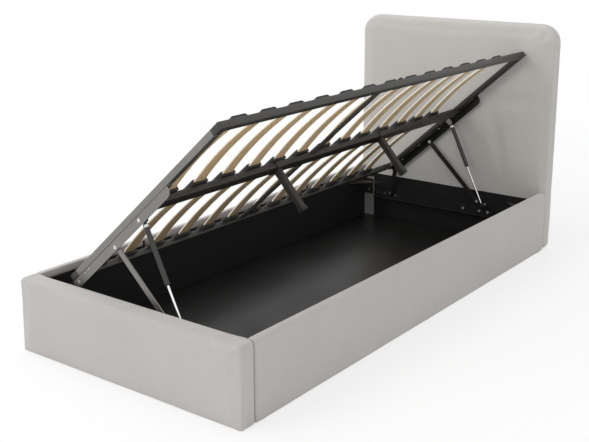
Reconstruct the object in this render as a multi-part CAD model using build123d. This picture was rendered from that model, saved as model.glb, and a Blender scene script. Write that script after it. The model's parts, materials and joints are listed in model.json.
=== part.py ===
"""Upholstered single bed with a storage box and a slatted base that lifts from its long side.

Millimetres. +X is the open long side, -X the hinge side, +Y the headboard, +Z up.
The origin is on the floor, under the centre of the whole bed. The base is drawn lifted.
"""

from build123d import *
import os
from math import atan2, cos, degrees, hypot, radians, sin

# Lifting base: outline, and the gaps round it inside the box
platform_width = 900
platform_length = 2000
near_gap = 14.5
far_gap = 5.5
end_gap = 13

# Bed box
box_height = 265
footboard_thickness = 65
rail_thickness = 30
floor_gap = 4
cover_thickness = 10
lining_thickness = 6
cover_return = 30
corner_round = 18
top_round = 15
inner_round = 5

# Headboard
headboard_overhang = 5
headboard_height = 1000
headboard_thickness = 60
headboard_corner = 80
headboard_foot_corner = 22
headboard_edge = 18
headboard_back_edge = 10
headboard_padding = 18
back_cover_inset = 34
back_cover_thickness = 2

# Inner panels and floor of the box
head_panel_thickness = 3
head_panel_top = 226
base_top = 12
fit_gap = 0.5
glide_width = 24
glide_inset = 40
panel_glide_shares = (-0.9, 0, 0.9)
rail_glide_shares = (-1, 0, 1)

# Corner posts and corner plates
post_width = 52
post_thickness = 6
post_top = 205
sheet = 2
near_plate_leg = 150
far_plate_leg = 115
far_plate_start = 45
plate_flange = 40
plate_tongue = 76
tongue_width = 50
plate_bolt_radius = 6
plate_bolt_head = 2
plate_bolt_spacing = 38

# Rubber buffers inside the far rail
buffer_width = 8
buffer_thickness = 2.5
buffer_height = 22
buffer_spacing = 1042
buffer_top = 258

# Poses of the lifting base. Places across are measured from the far wall of the box
open_tilt = 41.9
open_edge_across = 143
open_edge_height = 284
closed_top = 220
tube_height = 23
tube_wall = 1.5
side_tube_width = 25
end_tube_width = 30
joint_leg = 40
middle_rail_place = 470
middle_rail_width = 50
middle_rail_top = 8
middle_rail_height = 23
cross_bar_width = 20
cross_bar_height = 10
slats_before_cross_bar = 6

# Slats and their holders
slat_count = 13
first_slat_place = 103
last_slat_margin = 241
slat_width = 53
slat_thickness = 6
slat_bow = 14
slat_end_top = 4
holder_length = 72
holder_rise = 9
holder_depth = 19
holder_over = 20
holder_reach = 17
holder_grip = 8
holder_slope = 6
middle_holder_side = 8

# Arms, links and pivots of the lifting gear
arm_length = 600
arm_depth = 31
arm_sheet = 3
arm_flange = 26.5
arm_nose = 25
arm_bolt_places = (90, 210, 350)
arm_bolt_radius = 6
arm_bolt_head = 2.5
link_thickness = 4
link_width = 20
link_depth = 19
short_pivot_along = 24
short_pivot_below = 39
short_ground_across = 155
long_pivot_along = 264
long_pivot_below = 44
long_ground_across = 626
pin_radius = 5
running_clearance = 0.05
side_clearance = 0.3
nut_radius = 7.5
nut_height = 1.2
collar_radius = 8

# Gas struts
strut_depth = 33.5
strut_top_along = 420
strut_top_below = 38
strut_ground_across = 660
strut_ground_height = 166
cylinder_radius = 8.5
cylinder_wall = 1.5
cylinder_edge = 2.5
rod_radius = 4
piston_length = 6
rod_guide = 10
eye_radius = 8
eye_thickness = 12
eye_edge = 1.5
neck_radius = 5.5
fitting_length = 14
closing_gap = 3
tab_width = 24
tab_edge = 10
stud_radius = 4
stud_base_height = 5

# Base bars screwed to the end walls
base_bar_start = 55
base_bar_end = 700
base_bar_bottom = 112
base_bar_height = 35
base_bar_sheet = 3
base_bar_flange = 17
lug_radius = 17
base_bolt_height = 131
base_bolt_places = (76, 117, 177, 548, 632, 675)
base_bolt_radius = 7
base_bolt_head = 3.5
spacer_radius = 8.5

# Centre legs and the mattress stop
leg_places = (650, 1325)
leg_width = 25
leg_edge = 4
saddle_sheet = 3
saddle_length = 44
saddle_depth = 22
foot_width = 30
foot_height = 14
foot_edge = 3
stop_radius = 11
stop_height = 10
stop_edge = 4

# Counts
hexagon_sides = 6

# Places worked out from the sizes above
near_wall = (platform_width + near_gap + far_gap) / 2
far_wall = -near_wall
half_width = near_wall + rail_thickness
headboard_width = 2 * (half_width + headboard_overhang)
inner_length = platform_length + 2 * end_gap
total_length = footboard_thickness + inner_length + head_panel_thickness + headboard_thickness
foot_face = -total_length / 2
foot_wall = foot_face + footboard_thickness
head_wall = foot_wall + inner_length
headboard_front = head_wall + head_panel_thickness
back_face = headboard_front + headboard_thickness
box_middle = (foot_wall + head_wall) / 2
lining_top = box_height - cover_return
closed_bottom = closed_top - tube_height
middle_rail_bottom = middle_rail_top + middle_rail_height
tilt = radians(open_tilt)
platform_frame = Plane(
    origin=(far_wall + open_edge_across, foot_wall + end_gap, open_edge_height),
    x_dir=(cos(tilt), 0, sin(tilt)),
    z_dir=(-sin(tilt), 0, cos(tilt)),
)


# Helpers

def block(x, y, z):
    """A box from pairs of limits."""
    middle = [(low + high) / 2 for low, high in (x, y, z)]
    size = [abs(high - low) for low, high in (x, y, z)]
    return Pos(*middle) * Box(*size)


def rod_along_y(x, z, y, radius):
    """A round bar along Y between the two limits in y."""
    middle = (y[0] + y[1]) / 2
    return Pos(x, middle, z) * Rot(X=90) * Cylinder(radius, abs(y[1] - y[0]))


def hexagon_along_y(x, z, y, radius):
    """A hexagon head along Y between the two limits in y. The radius reaches its corners."""
    plane = Plane(origin=(x, min(y), z), x_dir=(1, 0, 0), z_dir=(0, 1, 0))
    return extrude(plane * RegularPolygon(radius, side_count=hexagon_sides), abs(y[1] - y[0]))


def flat(sketch, start, thickness):
    """A sketch drawn in X and Z, as a plate that starts at this depth inside the foot wall."""
    plane = Plane(origin=(0, foot_wall + start + thickness, 0), x_dir=(1, 0, 0), z_dir=(0, -1, 0))
    return extrude(plane * sketch, thickness)


def depth(*values):
    """Depths inside the foot wall as places along Y."""
    return tuple(foot_wall + value for value in values)


def at_head(shape):
    """The same piece at the head end of the box."""
    return mirror(shape, about=Plane(origin=(0, box_middle, 0), z_dir=(0, 1, 0)))


def at_far_side(shape):
    """The same piece at the hinge side."""
    return mirror(shape, about=Plane.YZ)


def on_platform(shape):
    """A piece drawn along, across and above the lifting base, moved to the lifted base."""
    return platform_frame.location * shape


def platform_head(shape):
    """The same piece at the head end of the lifting base, in the base's own frame."""
    return mirror(shape, about=Plane(origin=(0, platform_length / 2, 0), z_dir=(0, 1, 0)))


def group(shapes):
    """Several separate solids in one node."""
    solids = []
    for shape in shapes:
        solids.extend(shape.solids())
    return Compound(children=solids)


def opened(along, below):
    """A point of the lifting base as (across, height) when it is lifted."""
    across = open_edge_across + along * cos(tilt) + below * sin(tilt)
    return across, open_edge_height + along * sin(tilt) - below * cos(tilt)


def closed(along, below):
    """The same point when the base is down."""
    return far_gap + along, closed_top - below


def ground_pivot(along, below, across):
    """The fixed pivot at this place across that is as far from the lifted as from the lowered point."""
    up, down = opened(along, below), closed(along, below)
    swap = (up[0] ** 2 - down[0] ** 2) + (up[1] ** 2 - down[1] ** 2) - 2 * across * (up[0] - down[0])
    return across, swap / (2 * (up[1] - down[1]))


def row(point):
    """(across, height) as X and Z."""
    return far_wall + point[0], point[1]


short_top = opened(short_pivot_along, short_pivot_below)
short_ground = ground_pivot(short_pivot_along, short_pivot_below, short_ground_across)
long_top = opened(long_pivot_along, long_pivot_below)
long_ground = ground_pivot(long_pivot_along, long_pivot_below, long_ground_across)
strut_top = opened(strut_top_along, strut_top_below)
strut_low = closed(strut_top_along, strut_top_below)
strut_ground = (strut_ground_across, strut_ground_height)
strut_open_length = hypot(strut_top[0] - strut_ground[0], strut_top[1] - strut_ground[1])
strut_closed_length = hypot(strut_low[0] - strut_ground[0], strut_low[1] - strut_ground[1])
cylinder_length = strut_closed_length - 2 * fitting_length - closing_gap


# Box walls

def foot_lining():
    return block((far_wall, near_wall), (foot_wall - lining_thickness, foot_wall), (base_top, lining_top))


def footboard_core():
    return block(
        (-half_width + cover_thickness, half_width - cover_thickness),
        (foot_face + cover_thickness, foot_wall - lining_thickness),
        (floor_gap, box_height - cover_thickness),
    )


def footboard_upholstery():
    pad = block((-half_width, half_width), (foot_face, foot_wall), (floor_gap, box_height))
    pad = fillet(pad.edges().filter_by(Axis.Z).group_by(Axis.Y)[0], corner_round)
    top = pad.faces().sort_by(Axis.Z)[-1].edges()
    outer = [edge for edge in top if edge.center().Y < foot_wall - fit_gap]
    pad = fillet(outer, top_round)
    return pad - footboard_core() - foot_lining()


def rail_lining():
    return block(
        (near_wall, near_wall + lining_thickness),
        (foot_wall, head_wall),
        (base_top, lining_top),
    )


def rail_core():
    return block(
        (near_wall + lining_thickness, half_width - cover_thickness),
        (foot_wall, headboard_front),
        (floor_gap, box_height - cover_thickness),
    )


def rail_upholstery():
    pad = block((near_wall, half_width), (foot_wall, headboard_front), (floor_gap, box_height))
    top = pad.edges().filter_by(Axis.Y).group_by(Axis.Z)[-1].sort_by(Axis.X)
    pad = fillet(top[-1], top_round)
    inner = pad.edges().filter_by(Axis.Y).group_by(Axis.Z)[-1].sort_by(Axis.X)[0]
    pad = fillet(inner, inner_round)
    return pad - rail_core() - rail_lining()


def rounded_slab(half, y, z, top_corner, foot_corner):
    slab = block((-half, half), y, z)
    slab = fillet(slab.edges().filter_by(Axis.Y).group_by(Axis.Z)[-1], top_corner)
    return fillet(slab.edges().filter_by(Axis.Y).group_by(Axis.Z)[0], foot_corner)


def headboard_core():
    return rounded_slab(
        headboard_width / 2 - headboard_padding,
        (headboard_front + headboard_padding, back_face - headboard_padding),
        (floor_gap + headboard_padding, headboard_height - headboard_padding),
        headboard_corner - headboard_padding,
        headboard_foot_corner,
    )


def headboard_back_cover():
    return rounded_slab(
        headboard_width / 2 - back_cover_inset,
        (back_face - back_cover_thickness, back_face),
        (floor_gap + back_cover_inset, headboard_height - back_cover_inset),
        headboard_corner - back_cover_inset,
        headboard_foot_corner,
    )


def headboard_upholstery():
    pad = rounded_slab(
        headboard_width / 2,
        (headboard_front, back_face),
        (floor_gap, headboard_height),
        headboard_corner,
        headboard_foot_corner,
    )
    pad = fillet(pad.faces().sort_by(Axis.Y)[0].edges(), headboard_edge)
    pad = fillet(pad.faces().sort_by(Axis.Y)[-1].edges(), headboard_back_edge)
    return pad - headboard_core() - headboard_back_cover()


def head_lining():
    return block((far_wall, near_wall), (head_wall, headboard_front), (base_top, head_panel_top))


def base_panel():
    return block(
        (far_wall + fit_gap, near_wall - fit_gap),
        (foot_wall + fit_gap, box_middle - fit_gap / 2),
        (floor_gap, base_top),
    )


def floor_glides():
    """Felt pads under the two ends, the rails and the two floor panels."""
    rail_middle = half_width - rail_thickness / 2
    corner = half_width - glide_inset
    rail_half = inner_length / 2 - glide_inset
    places = []
    for side in (-1, 1):
        places.append((side * corner, foot_face + footboard_thickness / 2))
        places.append((side * corner, back_face - headboard_thickness / 2))
        for share in rail_glide_shares:
            places.append((side * rail_middle, box_middle + share * rail_half))
        for share in panel_glide_shares:
            places.append((share * near_wall, box_middle + side * glide_inset))
            places.append((share * near_wall, box_middle + side * rail_half))
    return group(Pos(x, y, floor_gap / 2) * Box(glide_width, glide_width, floor_gap) for x, y in places)


# Corner posts, plates and buffers

def corner_post():
    return block((near_wall - post_width, near_wall), depth(0, post_thickness), (base_top, post_top))


def tongue(top):
    return block(
        (near_wall - tongue_width, near_wall),
        depth(post_thickness, post_thickness + sheet),
        (top - plate_tongue, top),
    )


def corner_plate(start, leg):
    """A flat triangle that carries a corner of the lowered base, with turned-down edges."""
    top = closed_bottom - fit_gap
    y0, y1 = depth(start, start + leg)
    outline = make_face(Polyline((near_wall, y0), (near_wall - leg, y0), (near_wall, y1), close=True))
    plate = extrude(Pos(0, 0, top - sheet) * outline, sheet)
    edge = block((near_wall - sheet, near_wall), (depth(post_thickness)[0], y1), (top - plate_flange, top))
    return plate + edge + tongue(top)


def near_plate():
    return corner_plate(post_thickness, near_plate_leg)


def far_plate():
    return at_far_side(corner_plate(far_plate_start, far_plate_leg))


def corner_bolts():
    face = post_thickness + sheet
    middle = near_wall - tongue_width / 2
    low = closed_bottom - plate_tongue + plate_bolt_spacing / 2
    bolts = []
    for height in (low, low + plate_bolt_spacing):
        head = hexagon_along_y(middle, height, depth(face, face + plate_bolt_head), plate_bolt_radius)
        bolts.extend([head, at_far_side(head)])
    return bolts + [at_head(bolt) for bolt in bolts]


def rail_buffers():
    def buffer(y):
        return block(
            (far_wall, far_wall + buffer_thickness),
            (y - buffer_width / 2, y + buffer_width / 2),
            (buffer_top - buffer_height, buffer_top),
        )

    return [buffer(box_middle + side * buffer_spacing / 2) for side in (-1, 1)]


# Base bars and fixed pivots

def lug(*points):
    """A raised ear of the base bar round one or two pivots."""
    bar_middle = base_bar_bottom + base_bar_height / 2
    shape = Sketch()
    for point in points:
        x, z = row(point)
        shape += Pos(x, z) * Circle(lug_radius)
        shape += Pos(x, bar_middle) * Rectangle(2 * lug_radius + base_bar_height, base_bar_height)
    return make_hull(shape.edges())


def base_bar():
    x0, x1 = far_wall + base_bar_start, far_wall + base_bar_end
    middle = base_bar_bottom + base_bar_height / 2
    outline = Pos((x0 + x1) / 2, middle) * Rectangle(x1 - x0, base_bar_height)
    outline += lug(long_ground, strut_ground)
    outline += lug(short_ground)
    foot = block(
        (x0, x1),
        depth(0, base_bar_flange),
        (base_bar_bottom - base_bar_sheet, base_bar_bottom),
    )
    return flat(outline, 0, base_bar_sheet) + foot


def base_bolt(place):
    """The head of one of the bolts that hold the base bar to the end wall."""
    limits = depth(base_bar_sheet, base_bar_sheet + base_bolt_head)
    return hexagon_along_y(far_wall + place, base_bolt_height, limits, base_bolt_radius)


def long_ground_pin():
    """The headed pin that the long link turns on."""
    x, z = row(long_ground)
    top = link_depth + link_thickness + side_clearance
    pin = rod_along_y(x, z, depth(base_bar_sheet, top), pin_radius)
    return pin + hexagon_along_y(x, z, depth(top, top + nut_height), nut_radius)


def short_ground_pin():
    """The pin at the foot of the short link, which ends just clear of the link."""
    x, z = row(short_ground)
    return rod_along_y(x, z, depth(base_bar_sheet, link_depth - side_clearance), pin_radius)


def ground_spacer(point):
    x, z = row(point)
    limits = depth(base_bar_sheet, link_depth - side_clearance)
    ring = rod_along_y(x, z, limits, spacer_radius)
    return ring - rod_along_y(x, z, limits, pin_radius + running_clearance)


def strut_ground_stud():
    """The stud at the foot of the strut, which ends just clear of the eye."""
    x, z = row(strut_ground)
    tip = strut_depth - eye_thickness / 2 - side_clearance
    stud = rod_along_y(x, z, depth(base_bar_sheet, tip), stud_radius)
    foot = depth(base_bar_sheet, base_bar_sheet + stud_base_height)
    return stud + hexagon_along_y(x, z, foot, nut_radius)


# Links

def link(ground, top, holes):
    """A flat bar from a fixed pivot to a pivot on the arm, with a running or a tight hole at each."""
    (x0, z0), (x1, z1) = row(ground), row(top)
    length = hypot(x1 - x0, z1 - z0)
    turn = degrees(atan2(z1 - z0, x1 - x0))
    bar = Pos((x0 + x1) / 2, (z0 + z1) / 2) * Rot(Z=turn) * SlotCenterToCenter(length, link_width)
    bar -= Pos(x0, z0) * Circle(holes[0])
    bar -= Pos(x1, z1) * Circle(holes[1])
    return flat(bar, link_depth, link_thickness)


def long_link():
    hole = pin_radius + running_clearance
    return link(long_ground, long_top, (hole, hole))


def short_link():
    return link(short_ground, short_top, (pin_radius, pin_radius + running_clearance))


def short_link_rivet():
    """The bolt in the lower eye of the short link."""
    x, z = row(short_ground)
    face = link_depth + link_thickness
    rivet = rod_along_y(x, z, depth(link_depth, face), pin_radius)
    return rivet + hexagon_along_y(x, z, depth(face, face + nut_height), nut_radius)


# Gas strut: the axis runs from the pivot on the arm down to the base bar

def on_strut(shape):
    (x0, z0), (x1, z1) = row(strut_top), row(strut_ground)
    plane = Plane(
        origin=(x0, foot_wall + strut_depth, z0),
        x_dir=(0, 1, 0),
        z_dir=(x1 - x0, 0, z1 - z0),
    )
    return plane.location * shape


def bar_on_axis(start, end, radius):
    return Pos(0, 0, (start + end) / 2) * Cylinder(radius, end - start)


def strut_cylinder():
    start, end = fitting_length, fitting_length + cylinder_length
    tube = bar_on_axis(start, end, cylinder_radius)
    tube = chamfer(tube.edges().filter_by(GeomType.CIRCLE), cylinder_edge)
    bore = bar_on_axis(start + 2 * cylinder_wall, end - rod_guide, cylinder_radius - cylinder_wall)
    hole = bar_on_axis(end - rod_guide, end, rod_radius + running_clearance)
    return on_strut(tube - bore - hole)


def strut_rod():
    inner_end = fitting_length + cylinder_length - rod_guide - side_clearance
    piston_start = inner_end - piston_length
    piston = bar_on_axis(piston_start, inner_end, cylinder_radius - cylinder_wall - running_clearance)
    rod = bar_on_axis(piston_start, strut_open_length - fitting_length, rod_radius)
    return on_strut(piston + rod)


def strut_socket(at_top):
    """The eye at one end of a strut. The upper one turns on a stud, and the lower one meets its stud."""
    place, way = (0, 1) if at_top else (strut_open_length, -1)
    eye = Pos(0, 0, place) * Rot(Y=90) * Cylinder(eye_radius, eye_thickness)
    eye = chamfer(eye.edges().filter_by(GeomType.CIRCLE), eye_edge)
    ends = sorted((place, place + way * fitting_length))
    socket = eye + bar_on_axis(ends[0], ends[1], neck_radius)
    if at_top:
        socket -= Rot(Y=90) * Cylinder(stud_radius + running_clearance, 2 * eye_thickness)
    return on_strut(socket)


# Frame of the lifting base, in its own frame: along the arms, along the bed, and up

def hollow(x, y, z, axis):
    """A square tube with open ends along one axis."""
    limits = [list(x), list(y), list(z)]
    inner = [
        pair if number == axis else [min(pair) + tube_wall, max(pair) - tube_wall]
        for number, pair in enumerate(limits)
    ]
    return block(x, y, z) - block(*inner)


def side_tube(near):
    x = (platform_width - side_tube_width, platform_width) if near else (0, side_tube_width)
    return hollow(x, (joint_leg, platform_length - joint_leg), (-tube_height, 0), 1)


def end_tube():
    return hollow((joint_leg, platform_width - joint_leg), (0, end_tube_width), (-tube_height, 0), 0)


def corner_joint(near):
    x0, way = (platform_width, -1) if near else (0, 1)
    leg = block((x0, x0 + way * joint_leg), (0, end_tube_width), (-tube_height, 0))
    return leg + block((x0, x0 + way * side_tube_width), (0, joint_leg), (-tube_height, 0))


def corner_joints():
    foot = [corner_joint(True), corner_joint(False)]
    return foot + [platform_head(joint) for joint in foot]


def middle_rail():
    x0 = middle_rail_place - middle_rail_width / 2
    y = (end_tube_width, platform_length - end_tube_width)
    return hollow((x0, x0 + middle_rail_width), y, (-middle_rail_bottom, -middle_rail_top), 1)


def cross_bars():
    """A flat bar across both bays, midway between two slats."""
    rows = slat_rows()
    middle = (rows[slats_before_cross_bar - 1] + rows[slats_before_cross_bar]) / 2
    y = (middle - cross_bar_width / 2, middle + cross_bar_width / 2)
    z = (-middle_rail_top - cross_bar_height, -middle_rail_top)
    half = middle_rail_width / 2
    far = hollow((side_tube_width, middle_rail_place - half), y, z, 0)
    near = hollow((middle_rail_place + half, platform_width - side_tube_width), y, z, 0)
    return [far, near]


# Slats and holders

slat_inner_gap = middle_rail_width / 2 + side_clearance
slat_outer_gap = side_tube_width + holder_grip
far_bay = (slat_outer_gap, middle_rail_place - slat_inner_gap)
near_bay = (middle_rail_place + slat_inner_gap, platform_width - slat_outer_gap)


def slat_rows():
    pitch = (platform_length - first_slat_place - last_slat_margin) / (slat_count - 1)
    return [first_slat_place + number * pitch for number in range(slat_count)]


def slat(bay, y):
    """A slat bowed upwards, held a little below the top of the base."""
    start, end = bay
    middle = (start + end) / 2
    top = ThreePointArc((start, slat_end_top), (middle, slat_end_top + slat_bow), (end, slat_end_top))
    low = slat_end_top - slat_thickness
    bottom = ThreePointArc((end, low), (middle, low + slat_bow), (start, low))
    outline = make_face([top, Line(top @ 1, bottom @ 0), bottom, Line(bottom @ 1, top @ 0)])
    plane = Plane(origin=(0, y + slat_width / 2, 0), x_dir=(1, 0, 0), z_dir=(0, -1, 0))
    return extrude(plane * outline, slat_width)


def slats(bay):
    return [slat(bay, y) for y in slat_rows()]


def sloped(holder):
    """A holder with its two ends sloped down from the top."""
    top = holder.faces().sort_by(Axis.Z)[-1]
    ends = top.edges().filter_by(Axis.X)
    return chamfer(ends, holder_slope)


def side_holder(near, y):
    """A plastic holder that sits on a side tube and grips the end of a slat."""
    face, way = (platform_width - side_tube_width, -1) if near else (side_tube_width, 1)
    span = (y - holder_length / 2, y + holder_length / 2)
    body = block((face - way * holder_over, face + way * holder_reach), span, (0, holder_rise))
    body = sloped(body)
    body += block((face, face + way * holder_reach), span, (holder_rise - holder_depth, 0))
    return body - slat(near_bay if near else far_bay, y)


def middle_holder(y):
    """A double holder on the middle rail that grips the slats of both bays."""
    half = middle_rail_width / 2 + middle_holder_side
    span = (y - holder_length / 2, y + holder_length / 2)
    x = (middle_rail_place - half, middle_rail_place + half)
    body = sloped(block(x, span, (-middle_rail_top, holder_rise)))
    return body - slat(far_bay, y) - slat(near_bay, y)


# Arms and what they carry

def arm():
    """The angle bar under an end tube that carries the pivots."""
    middle = -tube_height - arm_depth / 2
    outline = Pos(arm_length / 2, middle) * Rectangle(arm_length, arm_depth)
    corner = outline.vertices().sort_by(Axis.X)[-2:].sort_by(Axis.Y)[0]
    outline = fillet(corner, arm_nose)
    plane = Plane(origin=(0, arm_sheet, 0), x_dir=(1, 0, 0), z_dir=(0, -1, 0))
    web = extrude(plane * outline, arm_sheet)
    return web + block((0, arm_length), (0, arm_flange), (-tube_height - arm_sheet, -tube_height))


def arm_bolts():
    top = -tube_height - arm_sheet
    middle = (link_depth - end_gap + link_thickness + arm_flange) / 2
    head = extrude(Pos(0, 0, top - arm_bolt_head) * RegularPolygon(arm_bolt_radius, hexagon_sides), arm_bolt_head)
    bolts = [Pos(place, middle, 0) * head for place in arm_bolt_places]
    return bolts + [platform_head(bolt) for bolt in bolts]


def arm_pin(along, below):
    """A headed pin through the arm, with a collar that keeps the link off the arm."""
    face = link_depth - end_gap
    tip = face + link_thickness + side_clearance
    pin = rod_along_y(along, -below, (arm_sheet, tip), pin_radius)
    pin += rod_along_y(along, -below, (arm_sheet, face - side_clearance), collar_radius)
    return pin + hexagon_along_y(along, -below, (tip, tip + nut_height), nut_radius)


def arm_pins():
    pivots = ((short_pivot_along, short_pivot_below), (long_pivot_along, long_pivot_below))
    pins = [arm_pin(along, below) for along, below in pivots]
    pins += [hexagon_along_y(along, -below, (-nut_height, 0), nut_radius) for along, below in pivots]
    return pins + [platform_head(pin) for pin in pins]


def strut_tabs():
    """Hanging tabs with the studs that carry the upper ends of the struts."""
    low = strut_top_below
    outline = Pos(strut_top_along, -(tube_height + low) / 2) * Rectangle(tab_width, low - tube_height)
    outline += Pos(strut_top_along, -low) * Circle(tab_width / 2)
    below_tube = Pos(strut_top_along, -tube_height + tab_width) * Rectangle(2 * tab_width, 2 * tab_width)
    outline -= below_tube
    plane = Plane(origin=(0, end_tube_width, 0), x_dir=(1, 0, 0), z_dir=(0, -1, 0))
    tab = extrude(plane * outline, arm_sheet)
    face = end_tube_width - arm_sheet
    eye_side = strut_depth - end_gap - eye_thickness / 2 - side_clearance
    tab += rod_along_y(strut_top_along, -low, (eye_side, face), stud_radius)
    tab += hexagon_along_y(strut_top_along, -low, (eye_side - nut_height, eye_side), nut_radius)
    return [tab, platform_head(tab)]


# Centre legs and the mattress stop

def centre_leg(y):
    """A leg under the middle rail, with a saddle round the rail."""
    half = middle_rail_width / 2
    x = (middle_rail_place - half - saddle_sheet, middle_rail_place + half + saddle_sheet)
    span = (y - saddle_length / 2, y + saddle_length / 2)
    low = middle_rail_bottom + saddle_sheet
    saddle = block(x, span, (-low, -middle_rail_bottom + saddle_depth))
    rail = block(
        (middle_rail_place - half, middle_rail_place + half),
        span,
        (-middle_rail_bottom, -middle_rail_top),
    )
    end = closed_top - base_top - fit_gap - foot_height
    size = leg_width / 2
    tube = block(
        (middle_rail_place - size, middle_rail_place + size),
        (y - size, y + size),
        (-end, -low),
    )
    tube = fillet(tube.edges().filter_by(Axis.Z), leg_edge)
    return saddle - rail + tube


def leg_foot(y):
    end = closed_top - base_top - fit_gap
    size = foot_width / 2
    foot = block(
        (middle_rail_place - size, middle_rail_place + size),
        (y - size, y + size),
        (-end, -end + foot_height),
    )
    foot = chamfer(foot.edges().filter_by(Axis.Z), leg_edge)
    return chamfer(foot.faces().sort_by(Axis.Z)[0].edges(), foot_edge)


def mattress_stop():
    x = platform_width - side_tube_width / 2
    knob = Pos(x, platform_length / 2, stop_height / 2) * Cylinder(stop_radius, stop_height)
    return chamfer(knob.edges().group_by(Axis.Z)[-1], stop_edge)


def both_ends(shapes):
    return shapes + [at_head(shape) for shape in shapes]


def box_nodes():
    return {
        "footboard_core": footboard_core(),
        "footboard_upholstery": footboard_upholstery(),
        "near_rail_core": rail_core(),
        "near_rail_upholstery": rail_upholstery(),
        "far_rail_core": at_far_side(rail_core()),
        "far_rail_upholstery": at_far_side(rail_upholstery()),
        "headboard_core": headboard_core(),
        "headboard_upholstery": headboard_upholstery(),
        "headboard_back_cover": headboard_back_cover(),
        "foot_lining": foot_lining(),
        "head_lining": head_lining(),
        "side_linings": group([rail_lining(), at_far_side(rail_lining())]),
        "base_panel_foot": base_panel(),
        "base_panel_head": at_head(base_panel()),
        "floor_glides": floor_glides(),
        "corner_posts": group(both_ends([corner_post(), at_far_side(corner_post())])),
        "corner_plates_near": group(both_ends([near_plate()])),
        "corner_plates_far": group(both_ends([far_plate()])),
        "corner_bolts": group(corner_bolts()),
        "far_rail_buffers": group(rail_buffers()),
    }


def gear_nodes():
    bolts = [base_bolt(place) for place in base_bolt_places]
    pins = [long_ground_pin(), short_ground_pin(), strut_ground_stud()]
    spacers = [ground_spacer(long_ground), ground_spacer(short_ground)]
    nodes = {
        "base_bar_foot": base_bar(),
        "base_bar_head": at_head(base_bar()),
        "base_bolts": group(both_ends(bolts)),
        "ground_pins": group(both_ends(pins)),
        "pivot_spacers": group(both_ends(spacers)),
    }
    ends = {
        "long_link": long_link(),
        "short_link": short_link(),
        "short_link_rivet": short_link_rivet(),
        "strut_cylinder": strut_cylinder(),
        "strut_top_socket": strut_socket(True),
        "strut_rod": strut_rod(),
        "strut_foot_socket": strut_socket(False),
    }
    for name, shape in ends.items():
        nodes[name + "_foot"] = shape
        nodes[name + "_head"] = at_head(shape)
    return nodes


def platform_nodes():
    rows = slat_rows()
    pieces = {
        "platform_near_rail": side_tube(True),
        "platform_far_rail": side_tube(False),
        "platform_middle_rail": middle_rail(),
        "platform_foot_tube": end_tube(),
        "platform_head_tube": platform_head(end_tube()),
        "platform_corner_joints": group(corner_joints()),
        "platform_cross_bars": group(cross_bars()),
        "slats_near_bay": group(slats(near_bay)),
        "slats_far_bay": group(slats(far_bay)),
        "slat_holders_near": group(side_holder(True, y) for y in rows),
        "slat_holders_middle": group(middle_holder(y) for y in rows),
        "slat_holders_far": group(side_holder(False, y) for y in rows),
        "arm_foot": arm(),
        "arm_head": platform_head(arm()),
        "arm_bolts": group(arm_bolts()),
        "arm_pins": group(arm_pins()),
        "strut_tabs": group(strut_tabs()),
        "centre_legs": group(centre_leg(y) for y in leg_places),
        "leg_feet": group(leg_foot(y) for y in leg_places),
        "mattress_stop": mattress_stop(),
    }
    return {name: on_platform(shape) for name, shape in pieces.items()}


nodes = {**box_nodes(), **gear_nodes(), **platform_nodes()}
os.makedirs("parts", exist_ok=True)
for name, shape in nodes.items():
    export_step(shape, os.path.join("parts", name + ".step"))
print("long ground pivot", [round(value, 3) for value in long_ground])
print("short ground pivot", [round(value, 3) for value in short_ground])
print("strut lengths", round(strut_open_length, 3), round(strut_closed_length, 3))
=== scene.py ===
import bpy
import bmesh
import json
from math import cos, exp, hypot, pi, radians, sin, sqrt
from mathutils import Matrix, Vector, noise


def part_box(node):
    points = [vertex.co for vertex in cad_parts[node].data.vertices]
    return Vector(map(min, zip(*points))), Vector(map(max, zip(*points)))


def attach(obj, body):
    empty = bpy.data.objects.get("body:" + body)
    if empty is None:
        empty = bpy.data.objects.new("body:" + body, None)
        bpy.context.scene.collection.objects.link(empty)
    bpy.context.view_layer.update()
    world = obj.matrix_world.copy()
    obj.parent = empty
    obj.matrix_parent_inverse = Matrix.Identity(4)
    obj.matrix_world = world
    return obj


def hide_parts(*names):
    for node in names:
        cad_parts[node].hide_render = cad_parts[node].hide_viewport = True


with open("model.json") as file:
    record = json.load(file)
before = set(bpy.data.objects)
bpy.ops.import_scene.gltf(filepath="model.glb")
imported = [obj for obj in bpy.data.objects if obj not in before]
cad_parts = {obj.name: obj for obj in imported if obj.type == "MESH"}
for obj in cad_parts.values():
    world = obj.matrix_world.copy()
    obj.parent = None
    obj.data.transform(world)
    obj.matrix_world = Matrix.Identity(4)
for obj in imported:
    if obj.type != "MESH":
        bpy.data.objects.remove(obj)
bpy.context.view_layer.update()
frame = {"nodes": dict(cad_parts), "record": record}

nodes = frame["nodes"]
scene = bpy.context.scene


# Places from the model, in metres

low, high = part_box("footboard_upholstery")
foot_face, foot_wall, half_width = low.y, high.y, high.x
far_wall = -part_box("near_rail_upholstery")[0].x

# The lifting base's own frame: X across from the hinge side, Y from foot to head, Z up from its tubes

tilt = radians(41.9)
base_width, base_length = 0.9, 2.0
base_from_wall, base_from_foot, base_height = 0.143, 0.013, 0.284
base_start = Vector((far_wall + base_from_wall, foot_wall + base_from_foot, base_height))
base_to_world = Matrix.Translation(base_start) @ Matrix.Rotation(-tilt, 4, "Y")


# Materials

black, white = (0, 0, 0), (1, 1, 1)

# Sockets of the mix node: its share, its two colours and the colour that it gives

mix_share, mix_a, mix_b, mix_result = 0, 6, 7, 2
wave_turn = 20


def grey(level):
    return (level,) * 3


def scaled(color, factor, lift=0.0):
    """A colour made lighter or darker."""
    return tuple(min(1, channel * factor + lift) for channel in color)


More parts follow.
